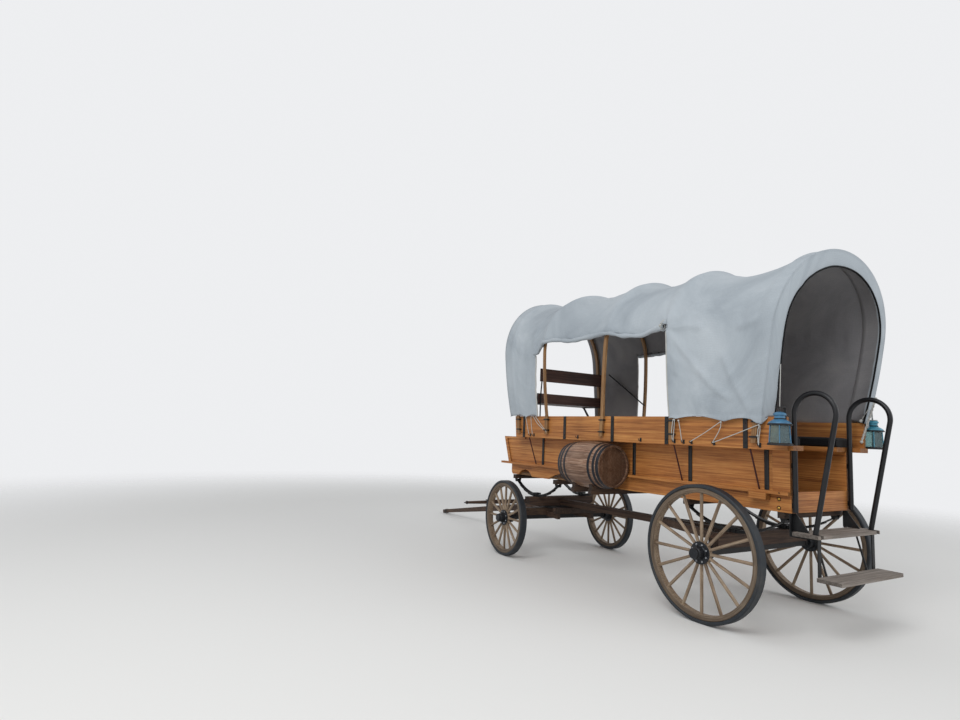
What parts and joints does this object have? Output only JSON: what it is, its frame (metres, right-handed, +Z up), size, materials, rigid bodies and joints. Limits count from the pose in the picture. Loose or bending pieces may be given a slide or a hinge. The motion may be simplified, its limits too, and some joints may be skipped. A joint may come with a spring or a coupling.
{
  "type": "covered wagon",
  "caption": "Horse-drawn covered wagon with a sprung wooden box, steered front axle, spoked wheels, side benches, bows under a canvas cover, a lashed barrel, rear steps and a pole.",
  "frame": {"origin": "on the ground, midway between the pole's tip and the back edge of the lower step, on the box's centre plane", "axes": "+X forward, +Y to the wagon's left, +Z up"},
  "size_m": [7.3849, 1.8286, 3.255],
  "materials": {
    "tyre_rubber": "smooth blue-black rubber",
    "wheel_wood": "oiled hardwood, weathered",
    "hub_metal": "black paint worn at the edges",
    "black_iron": "satin black, a little rust",
    "gear_wood": "dark weathered timber",
    "plank_wood": "bare worn planks",
    "box_wood": "oiled honey-coloured softwood",
    "cushion_cloth": "black cloth",
    "rod_paint": "dark red, satin",
    "canvas": "pale cotton canvas",
    "bow_wood": "bare ash",
    "seat_wood": "dark stained boards",
    "stave_wood": "varnished staves",
    "lantern_paint": "blue enamel",
    "rail_paint": "satin black",
    "step_wood": "grey weathered plank"
  },
  "bodies": {
    "wagon": {"barrel": "stave_wood", "barrel_hoops": "black_iron", "benches": "box_wood", "bow_1": "bow_wood", "bow_2": "bow_wood", "bow_3": "bow_wood", "bow_4": "bow_wood", "bow_5": "bow_wood", "brace_rods": "rod_paint", "canopy": "canvas", "cushion_left": "cushion_cloth", "cushion_right": "cushion_cloth", "driver_seat": "seat_wood", "end_boards": "box_wood", "floor_bearers": "gear_wood", "floor_boards": "plank_wood", "front_bolster": "gear_wood", "front_springs": "black_iron", "handrails": "rail_paint", "iron_straps": "black_iron", "lantern_hooks": "black_iron", "lantern_left": "lantern_paint", "lantern_right": "lantern_paint", "reach": "gear_wood", "rear_axle": "black_iron", "rear_axle_bed": "gear_wood", "rear_springs": "black_iron", "seat_irons": "black_iron", "side_battens": "box_wood", "side_left": "box_wood", "side_right": "box_wood", "spring_hangers": "black_iron", "step_hangers": "black_iron", "steps": "step_wood", "turntable_upper": "black_iron", "upper_board_left": "box_wood", "upper_board_right": "box_wood"},
    "front_gear": {"front_axle": "black_iron", "front_axle_bed": "gear_wood", "turntable_lower": "black_iron", "front_hounds": "gear_wood"},
    "tongue": {"tongue": "gear_wood", "tongue_irons": "black_iron"},
    "doubletree": {"doubletree": "gear_wood"},
    "singletree_left": {"singletree_left": "gear_wood", "clevis_left": "black_iron"},
    "singletree_right": {"singletree_right": "gear_wood", "clevis_right": "black_iron"},
    "wheel_rear_left": {"tyre_rear_left": "tyre_rubber", "wheel_rear_left": "wheel_wood", "hub_rear_left": "hub_metal"},
    "wheel_rear_right": {"tyre_rear_right": "tyre_rubber", "wheel_rear_right": "wheel_wood", "hub_rear_right": "hub_metal"},
    "wheel_front_left": {"tyre_front_left": "tyre_rubber", "wheel_front_left": "wheel_wood", "hub_front_left": "hub_metal"},
    "wheel_front_right": {"tyre_front_right": "tyre_rubber", "wheel_front_right": "wheel_wood", "hub_front_right": "hub_metal"}
  },
  "joints": [
    {"name": "front_steer", "type": "hinge", "parent": "wagon", "child": "front_gear", "pos_m": [0.084, 0, 0.579], "axis": [0, 0, 1], "range_deg": [-30, 40]},
    {"name": "tongue_lift", "type": "hinge", "parent": "front_gear", "child": "tongue", "pos_m": [0.6819, -0.05021, 0.49], "axis": [-0.0837, -0.9965, 0], "range_deg": [0, 30]},
    {"name": "doubletree_swing", "type": "hinge", "parent": "tongue", "child": "doubletree", "pos_m": [1.01887, -0.0785, 0.5181], "axis": [0.1509, -0.0127, 0.9885], "range_deg": [-18, 18]},
    {"name": "singletree_left_swing", "type": "hinge", "parent": "doubletree", "child": "singletree_left", "pos_m": [1.05903, 0.39981, 0.5181], "axis": [0.1509, -0.0127, 0.9885], "range_deg": [-14, 14]},
    {"name": "singletree_right_swing", "type": "hinge", "parent": "doubletree", "child": "singletree_right", "pos_m": [0.9787, -0.55682, 0.5181], "axis": [0.1509, -0.0127, 0.9885], "range_deg": [-14, 14]},
    {"name": "rear_left_roll", "type": "hinge", "parent": "wagon", "child": "wheel_rear_left", "pos_m": [-2.738, 0.801, 0.559], "axis": [0, 1, 0], "continuous": true},
    {"name": "rear_right_roll", "type": "hinge", "parent": "wagon", "child": "wheel_rear_right", "pos_m": [-2.738, -0.801, 0.559], "axis": [0, 1, 0], "continuous": true},
    {"name": "front_left_roll", "type": "hinge", "parent": "front_gear", "child": "wheel_front_left", "pos_m": [0.15103, 0.79819, 0.447], "axis": [0.0837, 0.9965, 0], "continuous": true},
    {"name": "front_right_roll", "type": "hinge", "parent": "front_gear", "child": "wheel_front_right", "pos_m": [0.01697, -0.79819, 0.447], "axis": [0.0837, 0.9965, 0], "continuous": true}
  ]
}
